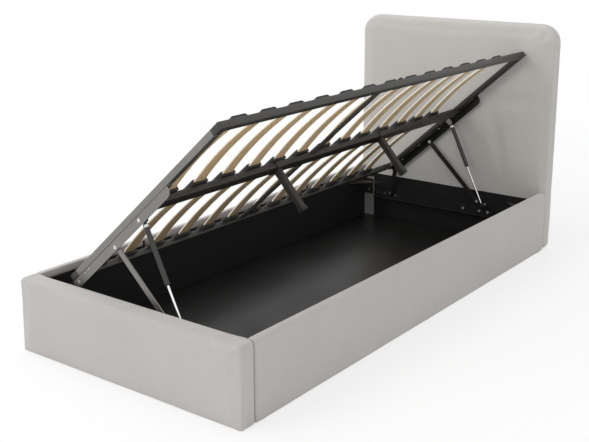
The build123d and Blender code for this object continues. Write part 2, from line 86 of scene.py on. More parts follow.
def node(tree, kind, **values):
    """A new node, with its inputs or its settings given by name."""
    made = tree.nodes.new(kind)
    for key, value in values.items():
        if key in made.inputs:
            made.inputs[key].default_value = value
        else:
            setattr(made, key, value)
    return made


def connect(tree, source, target, socket):
    tree.links.new(source, target.inputs[socket])


def start_material(name, color, roughness, metallic=0.0):
    material = bpy.data.materials.new(name)
    material.use_nodes = True
    tree = material.node_tree
    shader = tree.nodes["Principled BSDF"]
    shader.inputs["Base Color"].default_value = (*color, 1)
    shader.inputs["Roughness"].default_value = roughness
    shader.inputs["Metallic"].default_value = metallic
    place = node(tree, "ShaderNodeTexCoord").outputs["Object"]
    return material, tree, shader, place


def ramp(tree, source, stops):
    """A colour ramp from (place, colour) pairs."""
    made = node(tree, "ShaderNodeValToRGB")
    band = made.color_ramp
    while len(band.elements) < len(stops):
        band.elements.new(0.5)
    for element, (at, color) in zip(band.elements, stops):
        element.position = at
        element.color = (*color, 1)
    connect(tree, source, made, "Fac")
    return made.outputs["Color"]


def contrast(tree, source, start, end):
    """Black up to start and white from end on."""
    return ramp(tree, source, [(start, black), (end, white)])


def mix(tree, share, a, b, kind="MIX"):
    made = node(tree, "ShaderNodeMix", data_type="RGBA", blend_type=kind)
    for value, place in ((share, mix_share), (a, mix_a), (b, mix_b)):
        if isinstance(value, bpy.types.NodeSocket):
            connect(tree, value, made, place)
        else:
            made.inputs[place].default_value = value if isinstance(value, float) else (*value, 1)
    return made.outputs[mix_result]


def tint(tree, color, source, stops):
    """A colour multiplied by a ramp."""
    return mix(tree, 1.0, color, ramp(tree, source, stops), "MULTIPLY")


def noise_of(tree, place, scale, detail=4.0, stretch=None, turn=None, rough=0.5):
    if stretch or turn:
        mapping = node(tree, "ShaderNodeMapping")
        connect(tree, place, mapping, "Vector")
        mapping.inputs["Scale"].default_value = stretch or (1, 1, 1)
        mapping.inputs["Rotation"].default_value = turn or (0, 0, 0)
        place = mapping.outputs["Vector"]
    made = node(tree, "ShaderNodeTexNoise", Scale=scale, Detail=detail, Roughness=rough)
    connect(tree, place, made, "Vector")
    return made.outputs["Fac"]


def add_bump(tree, shader, layers, edge=None):
    """Bump from several (height, strength, distance) layers, over softened edges when edge is given."""
    normal = None
    if edge:
        normal = node(tree, "ShaderNodeBevel", Radius=edge, samples=4).outputs["Normal"]
    for height, strength, distance in layers:
        bump = node(tree, "ShaderNodeBump", Strength=strength, Distance=distance)
        connect(tree, height, bump, "Height")
        if normal:
            connect(tree, normal, bump, "Normal")
        normal = bump.outputs["Normal"]
    connect(tree, normal, shader, "Normal")


def weave(tree, place, period):
    """Threads that cross on every face that lies along two axes. A wave of scale 1 turns by wave_turn
    radians in a metre."""
    bands = {"wave_type": "BANDS", "Scale": 2 * pi / (wave_turn * period), "Distortion": 1.5}
    total = None
    for axis in "XYZ":
        wave = node(tree, "ShaderNodeTexWave", bands_direction=axis, **bands)
        wave.inputs["Detail"].default_value = 2.0
        wave.inputs["Detail Scale"].default_value = 1.5
        connect(tree, place, wave, "Vector")
        if total is None:
            total = wave.outputs["Fac"]
        else:
            added = node(tree, "ShaderNodeMath", operation="MULTIPLY_ADD")
            connect(tree, wave.outputs["Fac"], added, 0)
            added.inputs[1].default_value = 1.0
            connect(tree, total, added, 2)
            total = added.outputs["Value"]
    return total


def fabric(name, light, dark, period=0.0014, soft=0.35):
    """Woven cloth with crossing threads, a fine speckle and faint clouds."""
    material, tree, shader, place = start_material(name, light, 0.92)
    fine = noise_of(tree, place, scale=900.0, detail=3.0)
    cloud = noise_of(tree, place, scale=5.0, detail=3.0)
    patch = noise_of(tree, place, scale=60.0, detail=4.0)
    threads = weave(tree, place, period)
    color = mix(tree, contrast(tree, fine, 0.35, 0.7), dark, light)
    color = tint(tree, color, cloud, [(0.3, grey(0.96)), (0.7, white)])
    color = tint(tree, color, patch, [(0.3, grey(0.97)), (0.65, white)])
    connect(tree, color, shader, "Base Color")
    shader.inputs["Sheen Weight"].default_value = soft
    shader.inputs["Sheen Roughness"].default_value = 0.45
    shader.inputs["Specular IOR Level"].default_value = 0.2
    add_bump(tree, shader, [(threads, 0.25, 0.0003), (fine, 0.25, 0.0004), (cloud, 0.15, 0.004)])
    return material


def powder_coat(name, color, roughness=0.42, edge=0.0012, metallic=0.0):
    """Coated steel with a fine grain and slightly uneven gloss."""
    material, tree, shader, place = start_material(name, color, roughness, metallic)
    fine = noise_of(tree, place, scale=1400.0, detail=2.0)
    cloud = noise_of(tree, place, scale=9.0, detail=5.0)
    uneven = mix(tree, contrast(tree, cloud, 0.3, 0.75), color, scaled(color, 1.2))
    connect(tree, uneven, shader, "Base Color")
    gloss = ramp(tree, cloud, [(0.3, grey(roughness - 0.06)), (0.7, grey(roughness + 0.08))])
    connect(tree, gloss, shader, "Roughness")
    add_bump(tree, shader, [(fine, 0.2, 0.0001)], edge)
    return material


def plated(name, color, roughness, edge=0.0005, streak=(1, 1, 1)):
    """Zinc or chrome plate with faint clouds or turning marks."""
    material, tree, shader, place = start_material(name, color, roughness, 1.0)
    cloud = noise_of(tree, place, scale=220.0, detail=4.0, stretch=streak)
    connect(tree, mix(tree, cloud, scaled(color, 0.7), color), shader, "Base Color")
    gloss = ramp(tree, cloud, [(0.3, grey(roughness)), (0.75, grey(roughness + 0.15))])
    connect(tree, gloss, shader, "Roughness")
    add_bump(tree, shader, [(cloud, 0.08, 0.0002)], edge)
    return material


def plastic(name, color, roughness=0.5, edge=0.0008):
    """Moulded plastic or rubber with a fine grain."""
    material, tree, shader, place = start_material(name, color, roughness)
    shader.inputs["Specular IOR Level"].default_value = 0.3
    fine = noise_of(tree, place, scale=700.0, detail=3.0)
    cloud = noise_of(tree, place, scale=30.0, detail=3.0)
    connect(tree, mix(tree, cloud, color, scaled(color, 1.35, 0.006)), shader, "Base Color")
    add_bump(tree, shader, [(fine, 0.25, 0.00025)], edge)
    return material


def across_base(tree):
    """How squarely a face looks along the base's Z axis, from 0 to 1."""
    dot = node(tree, "ShaderNodeVectorMath", operation="DOT_PRODUCT")
    connect(tree, node(tree, "ShaderNodeTexCoord").outputs["Normal"], dot, 0)
    dot.inputs[1].default_value = (-sin(tilt), 0, cos(tilt))
    size = node(tree, "ShaderNodeMath", operation="ABSOLUTE")
    connect(tree, dot.outputs["Value"], size, 0)
    return size.outputs["Value"]


def slat_wood(name):
    """Pale veneered wood with the grain along the slats, across the lifted base. Its broad faces get a
    darker tan as painted shade, and its edges a paler cream as ply edges.
    """
    material, tree, shader, place = start_material(name, (0.8, 0.72, 0.58), 0.42)
    turn = (0, tilt, 0)
    grain = noise_of(tree, place, scale=60.0, detail=6.0, stretch=(0.5, 14, 14), turn=turn, rough=0.6)
    fibre = noise_of(tree, place, scale=300.0, detail=4.0, stretch=(0.3, 9, 9), turn=turn)
    board = noise_of(tree, place, scale=6.0, detail=1.0, stretch=(0.1, 1.2, 0.1), turn=turn)
    # Painted shade: the broad faces, marked by flat, get the darker tan; the edges keep the paler cream of
    # ply edges.
    shaded_face_stops = [(0.25, (0.46, 0.32, 0.168)), (0.5, (0.655, 0.477, 0.269)), (0.8, (0.85, 0.65, 0.412))]
    face = ramp(tree, grain, shaded_face_stops)
    edge = ramp(tree, grain, [(0.3, (0.9, 0.84, 0.7)), (0.7, (0.97, 0.93, 0.84))])
    flat = contrast(tree, across_base(tree), 0.72, 0.9)
    color = tint(tree, mix(tree, flat, edge, face), board, [(0.35, (0.88, 0.86, 0.82)), (0.65, white)])
    connect(tree, color, shader, "Base Color")
    connect(tree, ramp(tree, fibre, [(0.3, grey(0.36)), (0.7, grey(0.5))]), shader, "Roughness")
    shader.inputs["Coat Weight"].default_value = 0.15
    shader.inputs["Coat Roughness"].default_value = 0.3
    add_bump(tree, shader, [(fibre, 0.2, 0.0003)])
    return material


def raw_board(name, color):
    """Chipboard or rough wood."""
    material, tree, shader, place = start_material(name, color, 0.8)
    chips = node(tree, "ShaderNodeTexVoronoi", Scale=260.0)
    connect(tree, place, chips, "Vector")
    connect(tree, mix(tree, chips.outputs["Distance"], scaled(color, 0.6), color), shader, "Base Color")
    add_bump(tree, shader, [(chips.outputs["Distance"], 0.3, 0.0005)])
    return material


def floor_board(name):
    """Dark hardboard with a faint fibre and a soft sheen."""
    material, tree, shader, place = start_material(name, (0.009, 0.009, 0.0085), 0.32)
    fibre = noise_of(tree, place, scale=400.0, detail=4.0, stretch=(1, 0.25, 1))
    cloud = noise_of(tree, place, scale=4.0, detail=4.0)
    connect(tree, mix(tree, fibre, (0.005, 0.005, 0.0047), (0.012, 0.0117, 0.011)), shader, "Base Color")
    connect(tree, ramp(tree, cloud, [(0.3, grey(0.29)), (0.7, grey(0.36))]), shader, "Roughness")
    add_bump(tree, shader, [(fibre, 0.12, 0.0003)])
    return material


def lining(name, color):
    """Dull dark board or steel with a fibrous skin."""
    material, tree, shader, place = start_material(name, color, 0.85)
    shader.inputs["Specular IOR Level"].default_value = 0.3
    fibre = noise_of(tree, place, scale=700.0, detail=5.0, rough=0.7)
    connect(tree, mix(tree, fibre, color, scaled(color, 1.7)), shader, "Base Color")
    add_bump(tree, shader, [(fibre, 0.35, 0.0005)])
    return material


def seen_directly(tree):
    """One for what the camera or a reflection sees, and nought for the light on the object."""
    path = node(tree, "ShaderNodeLightPath")
    seen = node(tree, "ShaderNodeMath", operation="MAXIMUM")
    connect(tree, path.outputs["Is Camera Ray"], seen, 0)
    connect(tree, path.outputs["Is Glossy Ray"], seen, 1)
    return seen.outputs["Value"]


def blend_shaders(tree, share, a, b, output):
    blend = node(tree, "ShaderNodeMixShader")
    connect(tree, share, blend, "Fac")
    connect(tree, a, blend, 1)
    connect(tree, b, blend, 2)
    connect(tree, blend.outputs["Shader"], tree.nodes[output], "Surface")


def floor_material():
    """A pale floor that the camera sees almost white, with its shadows kept."""
    material, tree, shader, place = start_material("pale_floor", grey(0.92), 0.7)
    shader.inputs["Specular IOR Level"].default_value = 0.1
    distance = node(tree, "ShaderNodeVectorMath", operation="LENGTH")
    connect(tree, place, distance, 0)
    away = node(tree, "ShaderNodeMapRange", interpolation_type="SMOOTHSTEP")
    away.inputs["From Min"].default_value = 2.2
    away.inputs["From Max"].default_value = 5.0
    away.inputs["To Min"].default_value = 0.66
    connect(tree, distance.outputs["Value"], away, "Value")
    share = node(tree, "ShaderNodeMath", operation="MULTIPLY")
    connect(tree, seen_directly(tree), share, 0)
    connect(tree, away.outputs["Result"], share, 1)
    glow = node(tree, "ShaderNodeEmission", Strength=1.0)
    outputs = (shader.outputs["BSDF"], glow.outputs["Emission"])
    blend_shaders(tree, share.outputs["Value"], *outputs, "Material Output")
    return material


look = {
    "grey_fabric": fabric("grey_fabric", (0.52, 0.493, 0.478), (0.445, 0.423, 0.41)),
    # A lighter copy of the box fabric: painted light that brightens the headboard, which gets less light
    # than the box.
    "head_fabric": fabric("head_fabric", (0.575, 0.553, 0.523), (0.492, 0.474, 0.449)),
    "back_fabric": fabric("back_fabric", (0.03, 0.03, 0.032), (0.018, 0.018, 0.02), 0.001, 0.1),
    "chipboard": raw_board("chipboard", (0.5, 0.38, 0.24)),
    "dark_lining": lining("dark_lining", (0.005, 0.005, 0.0052)),
    "floor_board": floor_board("floor_board"),
    "black_plastic": plastic("black_plastic", grey(0.014)),
    "post_wood": raw_board("post_wood", (0.3, 0.295, 0.285)),
    "buffer_rubber": plastic("buffer_rubber", (0.05, 0.008, 0.008), 0.6),
    "slat_wood": slat_wood("slat_wood"),
    "zinc_steel": plated("zinc_steel", (0.75, 0.75, 0.74), 0.25),
    "black_steel": powder_coat("black_steel", (0.032, 0.03, 0.027), 0.14, 0.0008, metallic=0.3),
    "grey_steel": powder_coat("grey_steel", (0.21, 0.203, 0.193), 0.34, metallic=0.85),
    # A darker copy of the grey coat: painted shade for the near and far rails, the corner joints and the
    # rail welds.
    "dark_steel": powder_coat("dark_steel", (0.055, 0.053, 0.049), 0.4, metallic=0.6),
    # A still darker copy of the grey coat: painted shade for the middle rail, the centre legs and the far
    # corner plates under the base.
    "middle_steel": powder_coat("middle_steel", (0.036, 0.032, 0.028), 0.42, metallic=0.5),
    # A darker copy of the grey coat: painted shade for the head tube, arm and links, seen from inside the
    # box.
    "head_steel": powder_coat("head_steel", (0.035, 0.033, 0.03), 0.3, metallic=0.7),
    # The base bars get the near-black of the box lining: painted shade for steel deep inside the box.
    "bar_steel": lining("bar_steel", grey(0.005)),
    "screw_steel": powder_coat("screw_steel", (0.11, 0.107, 0.1), 0.35, metallic=0.8),
    "chrome_rod": plated("chrome_rod", grey(0.9), 0.08, streak=(1, 20, 1)),
}

slot_of = {entry["node"]: entry["material_slot"] for entry in frame["record"]["subparts"]}
look_of = {
    "strut_rod_foot": "chrome_rod",
    "strut_rod_head": "chrome_rod",
    "base_bar_foot": "bar_steel",
    "base_bar_head": "bar_steel",
    "long_link_head": "head_steel",
    "short_link_head": "head_steel",
    "corner_plates_far": "middle_steel",
    "centre_legs": "middle_steel",
}


def paint(obj, shown):
    """Gives an object one of the looks, on its own slots."""
    if not obj.material_slots:
        obj.data.materials.append(look[shown])
    for slot in obj.material_slots:
        slot.link = "OBJECT"
        slot.material = look[shown]


for name, obj in nodes.items():
    paint(obj, look_of.get(name, slot_of[name]))


# Help with meshes

same_point, flat_turn = 0.00005, 0.002
same_turned_point, no_length = 1e-6, 1e-7


def copy_node(name, piece_name):
    """The mesh of a node as a new object."""
    mesh = nodes[name].data.copy()
    mesh.name = piece_name
    mesh.materials.clear()
    obj = bpy.data.objects.new(piece_name, mesh)
    scene.collection.objects.link(obj)
    return obj


def apply_modifiers(obj):
    depsgraph = bpy.context.evaluated_depsgraph_get()
    mesh = bpy.data.meshes.new_from_object(obj.evaluated_get(depsgraph))
    old = obj.data
    obj.modifiers.clear()
    obj.data = mesh
    bpy.data.meshes.remove(old)


def remesh(obj, size):
    modifier = obj.modifiers.new("remesh", "REMESH")
    modifier.mode = "VOXEL"
    modifier.voxel_size = size
    apply_modifiers(obj)


def relax(obj, rounds, factor=0.5):
    modifier = obj.modifiers.new("relax", "SMOOTH")
    modifier.iterations = rounds
    modifier.factor = factor
    apply_modifiers(obj)


def smooth_shade(obj):
    for face in obj.data.polygons:
        face.use_smooth = True


def join_flat_faces(bm):
    """Turns the triangles of each flat face into one face."""
    bmesh.ops.remove_doubles(bm, verts=bm.verts, dist=same_point)
    bmesh.ops.dissolve_limit(bm, angle_limit=flat_turn, verts=bm.verts, edges=bm.edges)


def clamp01(value):
    return max(0.0, min(1.0, value))


def side_of(x):
    """Which side of the bed's middle a place is on, as 1 or -1."""
    return 1 if x > 0 else -1


# Padded covers

headboard_voxel, box_voxel = 0.008, 0.006
headboard_swell, box_swell = 0.006, 0.003
swell_pressure, swell_frames = 3.0, 20

# Where the covers are held while they swell, and the lengths over which that hold fades

head_held_depth, head_held_blend, head_held_foot = 0.03, 0.01, 0.02
floor_held, floor_blend = 0.012, 0.01
inner_held, inner_blend = 0.007, 0.003
top_free, top_blend = 0.02, 0.004
box_skin, end_blend = 0.006, 0.004

# The shape of the covers: roundings, hem, groove at the seam, waves and folds

solid_round, footboard_round, headboard_round = 0.018, 0.008, 0.009
headboard_corner = 0.08
hem_gap, hem_reach, hem_blend = 0.0006, 0.014, 0.012
groove_depth, groove_width, groove_reach = 0.0045, 0.009, 0.012
cover_rounds, last_rounds, last_factor = 2, 1, 0.3
box_wave, box_wave_scale, box_wave_tall = 0.0012, 5.0, 0.7
head_wave, head_wave_scale, head_crown = 0.005, 3.0, 0.003
head_wave_x, head_wave_z, head_wave_start, pucker_scale = 1.2, 0.8, 3, 9
head_border, head_front, head_proud, head_pucker = 0.12, 0.02, 0.002, 0.0012
fold_list = [
    (0.16, 0.42, 0.045, 0.17, -0.25, -0.006),
    (0.25, 0.45, 0.04, 0.16, -0.25, 0.008),
    (0.34, 0.40, 0.05, 0.16, -0.3, -0.005),
    (0.30, 0.66, 0.16, 0.04, 0.9, 0.005),
    (0.45, 0.74, 0.03, 0.1, 0.1, 0.009),
]


def shell_of(seed, left):
    """The vertices that hang together with seed, taken out of left."""
    left.discard(seed)
    shell, border = {seed}, [seed]
    while border:
        vertex = border.pop()
        for edge in vertex.link_edges:
            other = edge.other_vert(vertex)
            if other in left:
                left.remove(other)
                shell.add(other)
                border.append(other)
    return shell


def tallness(shell):
    heights = [vertex.co.z for vertex in shell]
    return max(heights) - min(heights)


def keep_outer_shell(obj):
    """Deletes every connected shell but the tallest."""
    bm = bmesh.new()
    bm.from_mesh(obj.data)
    left = set(bm.verts)
    shells = []
    while left:
        shells.append(shell_of(next(iter(left)), left))
    shells.sort(key=tallness)
    bmesh.ops.delete(bm, geom=[vertex for shell in shells[:-1] for vertex in shell], context="VERTS")
    bm.to_mesh(obj.data)
    bm.free()


def add_cloth(obj):
    cloth = obj.modifiers.new("cloth", "CLOTH")
    settings = cloth.settings
    settings.quality = 2
    settings.mass = 0.25
    settings.tension_stiffness = 12
    settings.compression_stiffness = 12
    settings.shear_stiffness = 4
    settings.bending_stiffness = 0.6
    settings.vertex_group_mass = "held"
    settings.use_pressure = True
    settings.uniform_pressure_force = swell_pressure
    settings.effector_weights.gravity = 0
    cloth.collision_settings.use_collision = False
    cloth.point_cache.frame_start = 1
    cloth.point_cache.frame_end = swell_frames


def inflate(obj, held, cap):
    """Lets the cover swell under a little pressure, with some points held, and caps how far it moves."""
    group = obj.vertex_groups.new(name="held")
    for vertex in obj.data.vertices:
        weight = held(vertex.co)
        if weight > 0:
            group.add([vertex.index], weight, "REPLACE")
    rest = [vertex.co.copy() for vertex in obj.data.vertices]
    add_cloth(obj)
    for frame_number in range(1, swell_frames + 1):
        scene.frame_set(frame_number)
    depsgraph = bpy.context.evaluated_depsgraph_get()
    swollen = obj.evaluated_get(depsgraph).data
    moves = [vertex.co - start for vertex, start in zip(swollen.vertices, rest)]
    obj.modifiers.clear()
    for vertex, start, move in zip(obj.data.vertices, rest, moves):
        if move.length > cap:
            move = move * (cap / move.length)
        vertex.co = start + move
    scene.frame_set(1)
    obj.vertex_groups.clear()


def creases(point, scale, size):
    """Slow waves in the fabric."""
    return noise.noise(point * scale) * size


def folds(x, z):
    """Soft hollows and ridges on the right of the headboard, from fold_list's rows of
    x, z, width, height, lean and depth."""
    total = 0.0
    for at_x, at_z, wide, tall, lean, depth in fold_list:
        beside = (x - at_x - lean * (z - at_z)) / wide
        above = (z - at_z) / tall
        total += depth * exp(-beside * beside - above * above)
    return total


def hang(obj):
    """Lets the lower hem of a cover hang down to just above the floor, so that it hides the glides."""
    lowest = min(vertex.co.z for vertex in obj.data.vertices)
    for vertex in obj.data.vertices:
        vertex.co.z -= (lowest - hem_gap) * clamp01((lowest + hem_reach - vertex.co.z) / hem_blend)


def crisp_scale(across, along, new_round):
    """How far out a point of a rounded edge moves when the edge gets a smaller rounding."""
    length = hypot(across, along)
    across_share, along_share = across / length, along / length
    inset = solid_round - new_round
    reach = solid_round / max(across_share, along_share)
    if reach * min(across_share, along_share) > inset:
        total = inset * (across_share + along_share)
        reach = total + sqrt(max(0.0, total * total - 2 * inset * inset + new_round * new_round))
    return reach / solid_round


def crisp_footboard_corner(co):
    """Gives the upright front corners of the footboard a smaller rounding."""
    across, along = abs(co.x) - (half_width - solid_round), foot_face + solid_round - co.y
    if across > 0 and along > 0:
        scale = crisp_scale(across, along, footboard_round)
        co.x = side_of(co.x) * (half_width - solid_round + across * scale)
        co.y = foot_face + solid_round - along * scale


def crisp_headboard_edge(co, lo, hi):
    """The same for the edge round the front of the headboard, also where it turns at the upper corners."""
    side, up = abs(co.x) - (hi.x - headboard_corner), co.z - (hi.z - headboard_corner)
    if side > 0 and up > 0:
        out = Vector((side, up)) / hypot(side, up)
        inside = headboard_corner - hypot(side, up)
    elif hi.x - abs(co.x) < hi.z - co.z:
        out, inside = Vector((1, 0)), hi.x - abs(co.x)
    else:
        out, inside = Vector((0, 1)), hi.z - co.z
    across, along = solid_round - inside, lo.y + solid_round - co.y
    if across > 0 and along > 0:
        scale = crisp_scale(across, along, headboard_round)
        move = across * (scale - 1)
        co.x += side_of(co.x) * out.x * move
        co.z += out.y * move
        co.y = lo.y + solid_round - along * scale


def groove(co, gap):
    """Presses the outer face in beside the seam between footboard and rail."""
    if gap < groove_width and abs(co.x) > half_width - groove_reach:
        co.x -= side_of(co.x) * groove_depth * (1 - max(0.0, gap) / groove_width) ** 2


def finish_cover(obj, node_name, shown="grey_fabric"):
    obj.data.materials.clear()
    obj.data.materials.append(look[shown])
    smooth_shade(obj)
    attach(obj, "bed_frame")
    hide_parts(node_name)


def headboard_cover():
    """The cover of the headboard, crowned a little, with slow waves and folds on its front."""
    obj = copy_node("headboard_upholstery", "headboard_cover")
    remesh(obj, headboard_voxel)
    keep_outer_shell(obj)
    lo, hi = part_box("headboard_upholstery")
    relax(obj, cover_rounds)

    def held(co):
        back = clamp01((co.y - (lo.y + head_held_depth)) / head_held_blend)
        foot = clamp01((head_held_foot - co.z) / head_held_foot)
        return back + foot

    inflate(obj, held, headboard_swell)
    for vertex in obj.data.vertices:
        co = vertex.co
        crisp_headboard_edge(co, lo, hi)
        front = clamp01((lo.y + head_front - co.y) / head_front)
        inside = clamp01((hi.x - abs(co.x)) / head_border) * clamp01((hi.z - co.z) / head_border)
        place = Vector((co.x * head_wave_x, 0, co.z * head_wave_z + head_wave_start))
        wave = creases(place, head_wave_scale, head_wave)
        co.y += front * inside * (head_crown + wave + folds(co.x, co.z))
        co.y = max(co.y, lo.y - head_proud)
        pulled = (1 - inside) * (0.5 + noise.noise(Vector((co.z * pucker_scale, 1, 0))))
        co.x += (head_pucker if co.x < 0 else -head_pucker) * pulled
    hang(obj)
    relax(obj, last_rounds, last_factor)
    finish_cover(obj, "headboard_upholstery", "head_fabric")


def box_cover(node_name, piece_name, depth, held_ends, shape):
    """A cover of the box. depth(point) is how far in from the outer face a point lies, held_ends(point)
    how much its ends are held while it swells, and shape(point) moves the point afterwards."""
    obj = copy_node(node_name, piece_name)
    remesh(obj, box_voxel)
    relax(obj, cover_rounds)
    lo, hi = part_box(node_name)

    def held(co):
        near_floor = clamp01((lo.z + floor_held - co.z) / floor_blend)
        below_top = clamp01((hi.z - top_free - co.z) / top_blend)
        inner = clamp01((depth(co) - inner_held) / inner_blend) * below_top
        return clamp01(near_floor + inner + held_ends(co))

    inflate(obj, held, box_swell)
    for vertex in obj.data.vertices:
        shape(vertex.co)
    hang(obj)
    finish_cover(obj, node_name)
    return obj


def footboard_cover():
    lo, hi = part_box("footboard_upholstery")

    def shape(co):
        crisp_footboard_corner(co)
        groove(co, hi.y - co.y)
        outer = clamp01((lo.y + box_skin - co.y) / box_skin)
        co.y += outer * creases(Vector((co.x, 0, co.z * box_wave_tall)), box_wave_scale, box_wave)

    box_cover("footboard_upholstery", "footboard_cover", lambda co: co.y - lo.y, lambda co: 0.0, shape)


def near_rail_cover():
    lo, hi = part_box("near_rail_upholstery")

    def depth(co):
        return abs(hi.x - co.x)

    def held_ends(co):
        return clamp01((lo.y + box_skin - co.y) / end_blend) + clamp01((co.y - hi.y + box_skin) / end_blend)

    def shape(co):
        outer = clamp01((co.x - half_width + box_skin) / box_skin)
        co.x += outer * creases(Vector((0, co.y, co.z * box_wave_tall)), box_wave_scale, box_wave)
        groove(co, co.y - lo.y)

    return box_cover("near_rail_upholstery", "near_rail_cover", depth, held_ends, shape)


def far_rail_cover(near_cover):
    """The cover of the far rail is the near one in a mirror."""
    mesh = near_cover.data.copy()
    for vertex in mesh.vertices:
        vertex.co.x = -vertex.co.x
    mesh.flip_normals()
    obj = bpy.data.objects.new("far_rail_cover", mesh)
    scene.collection.objects.link(obj)
    finish_cover(obj, "far_rail_upholstery")


footboard_cover()
far_rail_cover(near_rail_cover())
headboard_cover()


# Slats and the steel of the lifting base, with angles in degrees

slat_round, tube_round, joint_round, arm_round = 0.0022, 0.0025, 0.0022, 0.0028
long_length, joint_length, bend_length = 0.1, 0.012, 0.3
bend_drop, bend_inset = 0.0232, 0.0005
slat_corner, slat_sharp, steel_sharp, small_sharp = 50, 32, 30, 35


def finish_hard(obj, shown, body, sharp):
    """Shades a hard piece, keeps edges over so many degrees sharp, and gives it its look and body."""
    smooth_shade(obj)
    obj.data.set_sharp_from_angle(angle=radians(sharp))
    obj.data.materials.clear()
    obj.data.materials.append(look[shown])
    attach(obj, body)


def rounded_slats(node_name, piece_name):
    """The slats of a bay with their edges rounded, as veneer slats are."""
    obj = copy_node(node_name, piece_name)
    bm = bmesh.new()
    bm.from_mesh(obj.data)
    join_flat_faces(bm)
    bm.to_mesh(obj.data)
    bm.free()
    modifier = obj.modifiers.new("round", "BEVEL")
    modifier.width = slat_round
    modifier.segments = 3
    modifier.limit_method = "ANGLE"
    modifier.angle_limit = radians(slat_corner)
    apply_modifiers(obj)
    finish_hard(obj, "slat_wood", "platform", slat_sharp)
    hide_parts(node_name)


def rounded_steel(node_name, piece_name, shown, chosen, width):
    """A copy of a steel piece whose chosen edges, in the frame of the base, are rolled round."""
    obj = copy_node(node_name, piece_name)
    bm = bmesh.new()
    bm.from_mesh(obj.data)
    bm.transform(base_to_world.inverted())
    join_flat_faces(bm)
    edges = [edge for edge in bm.edges if len(edge.link_faces) == 2 and edge.is_convex and chosen(edge)]
    size = {"offset": width, "offset_type": "OFFSET", "segments": 4, "profile": 0.5}
    bmesh.ops.bevel(bm, geom=edges, affect="EDGES", clamp_overlap=True, **size)
    bm.transform(base_to_world)
    bm.to_mesh(obj.data)
    bm.free()
    finish_hard(obj, shown, "platform", steel_sharp)
    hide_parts(node_name)


def long_edge(edge):
    return edge.calc_length() > long_length


def joint_edge(edge):
    return edge.calc_length() > joint_length


def bend_edge(edge):
    """The outer bend of an arm, where it lies against the end tube."""
    ends = [vertex.co for vertex in edge.verts]
    high_up = all(end.z > -bend_drop for end in ends)
    outside = all(min(end.y, base_length - end.y) < bend_inset for end in ends)
    return edge.calc_length() > bend_length and high_up and outside


rounded_slats("slats_near_bay", "slats_near")
rounded_slats("slats_far_bay", "slats_far")
for rolled in (
    ("platform_near_rail", "platform_near_rail_tube", "dark_steel", long_edge, tube_round),
    ("platform_far_rail", "platform_far_rail_tube", "dark_steel", long_edge, tube_round),
    ("platform_middle_rail", "platform_middle_rail_tube", "middle_steel", long_edge, tube_round),
    ("platform_foot_tube", "platform_foot_tube_rolled", "grey_steel", long_edge, tube_round),
    ("platform_head_tube", "platform_head_tube_rolled", "head_steel", long_edge, tube_round),
    ("platform_corner_joints", "corner_joints_rolled", "dark_steel", joint_edge, joint_round),
    ("arm_foot", "arm_foot_rolled", "grey_steel", bend_edge, arm_round),
    ("arm_head", "arm_head_rolled", "head_steel", bend_edge, arm_round),
):
    rounded_steel(*rolled)


# Turned parts: screws, stud heads, and what sits on the struts

lathe_sides = 28
sunk = 0.0003
socket_head = ((1, 0.3), (0.86, 0.75), (0.55, 1), (0.42, 1), (0.38, 0.45), (0, 0.45))
plain_dome = ((1, 0.25), (0.92, 0.55), (0.7, 0.85), (0.35, 0.98), (0, 1))
tube_middle = -0.0115
stud_place, stud_drop, stud_radius, stud_height = 0.42, -0.038, 0.0068, 0.0034
arm_screw_places, arm_screw_drop, arm_screw = (0.1, 0.075), -0.03, (0.0026, 0.0014)
joint_screw = (0.0028, 0.0015)
end_screw_places, side_screw_places = (0.012, 0.029), (0.013, 0.031)
strut_inset = 0.0205
rim = 0.0085

# The way down along a strut at rest, from its upper eye

strut_axis = Vector((0.435324, 0, -0.900274))


def lathe(bm, profile, origin, axis):
    """Turns a closed profile of (radius, place along the axis) pairs round an axis."""
    axis = Vector(axis).normalized()
    side = axis.orthogonal().normalized()
    other = axis.cross(side)
    rings = []
    for k in range(lathe_sides):
        angle = 2 * pi * k / lathe_sides
        out = side * cos(angle) + other * sin(angle)
        points = [Vector(origin) + axis * along + out * radius for radius, along in profile]
        rings.append([bm.verts.new(point) for point in points])
    fresh = [vertex for ring in rings for vertex in ring]
    for k in range(lathe_sides):
        a, b = rings[k], rings[(k + 1) % lathe_sides]
        for i in range(len(profile)):
            j = (i + 1) % len(profile)
            if profile[i][0] or profile[j][0]:
                bm.faces.new((a[i], b[i], b[j], a[j]))
    bmesh.ops.remove_doubles(bm, verts=fresh, dist=same_turned_point)


def finish_small(bm, name, slot, body, turn=None, shown=None):
    """Makes a piece of the mesh. turn moves it from the frame of the base."""
    if turn:
        bm.transform(turn)
    bmesh.ops.dissolve_degenerate(bm, edges=bm.edges, dist=no_length)
    bmesh.ops.recalc_face_normals(bm, faces=bm.faces)
    mesh = bpy.data.meshes.new(name)
    bm.to_mesh(mesh)
    bm.free()
    obj = bpy.data.objects.new(name, mesh)
    scene.collection.objects.link(obj)
    finish_hard(obj, shown or slot, body, small_sharp)
    return obj


def sunk_profile(outline, radius, height):
    """A closed profile from shares of a radius and a height, with its foot sunk into the steel."""
    return [(0, -sunk), (radius, -sunk)] + [(share * radius, rise * height) for share, rise in outline]


def from_both_ends(places, length):
    return [*places, *(length - place for place in places)]


